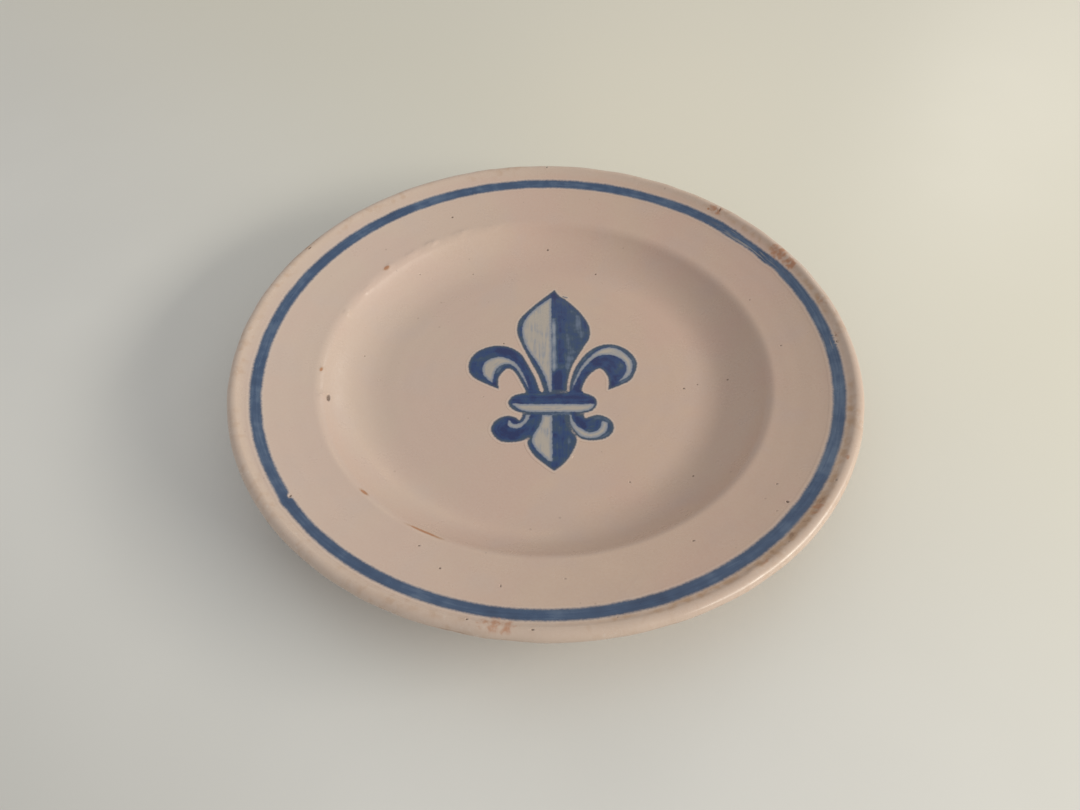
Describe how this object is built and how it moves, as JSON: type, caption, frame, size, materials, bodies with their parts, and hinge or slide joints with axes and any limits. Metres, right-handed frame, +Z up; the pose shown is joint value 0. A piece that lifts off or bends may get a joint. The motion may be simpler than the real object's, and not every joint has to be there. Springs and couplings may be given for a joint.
{
  "type": "dinner plate",
  "caption": "Round glazed earthenware plate with a shallow well, sloping rim, rounded lip and bare foot ring, hand-painted with a blue rim line and a blue lily motif.",
  "frame": {"origin": "on the plate's axis, in the plane of the foot ring's standing face", "axes": "+Z up out of the well, +Y from the tail of the lily motif to its tip, +X to the motif's right"},
  "size_m": [0.25, 0.25, 0.0307],
  "materials": {
    "fired_clay": "unglazed fired earthenware, matte, light red-brown",
    "tin_glaze": "glossy opaque tin glaze, warm pinkish beige, pinholes and brown specks",
    "cobalt_line": "glossy medium blue brush line fired into the glaze, slightly streaky",
    "cobalt_shade": "glossy dark blue brushwork fired into the glaze, streaky",
    "cobalt_wash": "glossy thin pale blue-grey wash over the glaze, streaky"
  },
  "bodies": {
    "root": {"clay_body": "fired_clay", "glaze_face": "tin_glaze", "glaze_back": "tin_glaze", "glaze_base": "tin_glaze", "rim_line": "cobalt_line", "centre_petal_shade": "cobalt_shade", "centre_petal_wash": "cobalt_wash", "centre_petal_line": "cobalt_line", "left_petal_shade": "cobalt_shade", "left_petal_wash": "cobalt_wash", "right_petal_shade": "cobalt_shade", "right_petal_wash": "cobalt_wash", "tie_bar_shade": "cobalt_shade", "tie_bar_wash": "cobalt_wash", "left_curl_shade": "cobalt_shade", "left_curl_wash": "cobalt_wash", "right_curl_shade": "cobalt_shade", "right_curl_wash": "cobalt_wash", "tail_shade": "cobalt_shade", "tail_wash": "cobalt_wash", "tail_line": "cobalt_line"}
  },
  "joints": []
}
